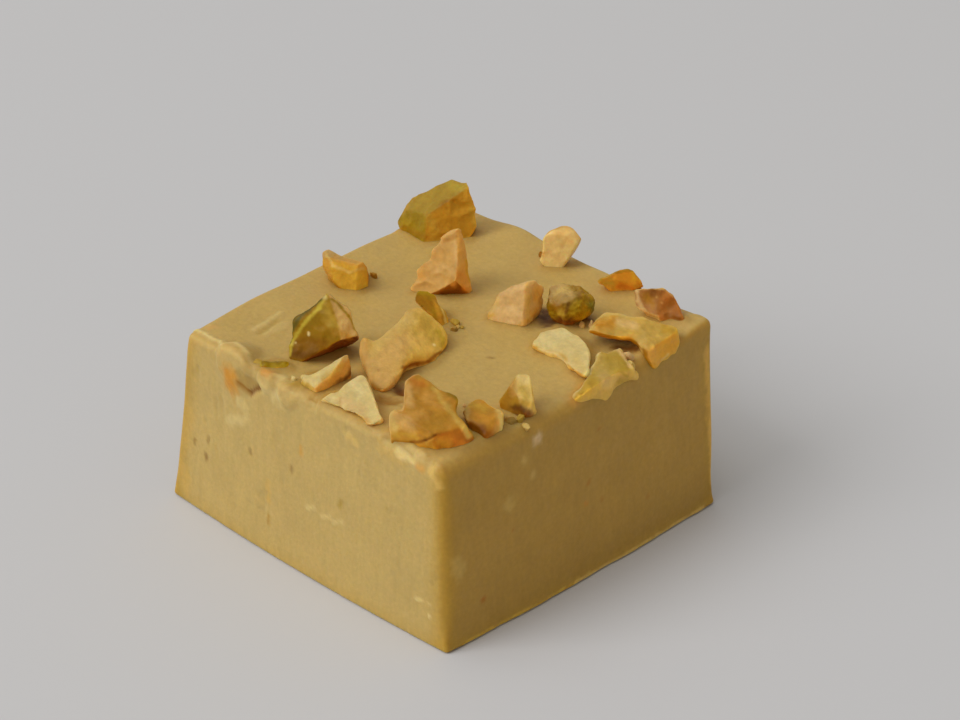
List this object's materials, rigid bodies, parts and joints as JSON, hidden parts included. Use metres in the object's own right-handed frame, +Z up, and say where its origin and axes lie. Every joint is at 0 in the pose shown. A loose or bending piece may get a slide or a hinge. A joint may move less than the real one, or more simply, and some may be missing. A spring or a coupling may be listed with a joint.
{
  "type": "gianduja",
  "caption": "Small knife-cut square of pale nut gianduja with chopped roasted nuts pressed into its top face.",
  "frame": {"origin": "middle of the flat base, on the surface the piece rests on", "axes": "+Z up; +X along the front edge that faces the light, +Y along the shaded front edge, so the nearest corner is at +X, -Y"},
  "size_m": [0.0313, 0.0311, 0.0209],
  "materials": {
    "gianduja": "satin, knife-dragged sides",
    "nut_pale": "matte cut kernel",
    "nut_roasted": "slightly oily roasted kernel",
    "nut_green": "green kernel skin",
    "nut_skin": "red-brown kernel skin"
  },
  "bodies": {
    "root": {"gianduja_block": "gianduja", "nut_back_chunk": "nut_roasted", "nut_tall_wedge": "nut_roasted", "nut_left_cube": "nut_roasted", "nut_green_wedge": "nut_green", "nut_centre_lump": "nut_pale", "nut_centre_sliver": "nut_green", "nut_left_shaving": "nut_pale", "nut_pale_chip": "nut_pale", "nut_front_lump": "nut_roasted", "nut_front_bit": "nut_roasted", "nut_upright_chip": "nut_roasted", "nut_cream_wedge": "nut_pale", "nut_green_round": "nut_green", "nut_pale_flake": "nut_pale", "nut_rim_flake": "nut_green", "nut_butterfly": "nut_roasted", "nut_red_chunk": "nut_skin", "nut_right_sliver": "nut_roasted", "nut_back_flake": "nut_roasted", "nut_left_sliver": "nut_skin"}
  },
  "joints": []
}
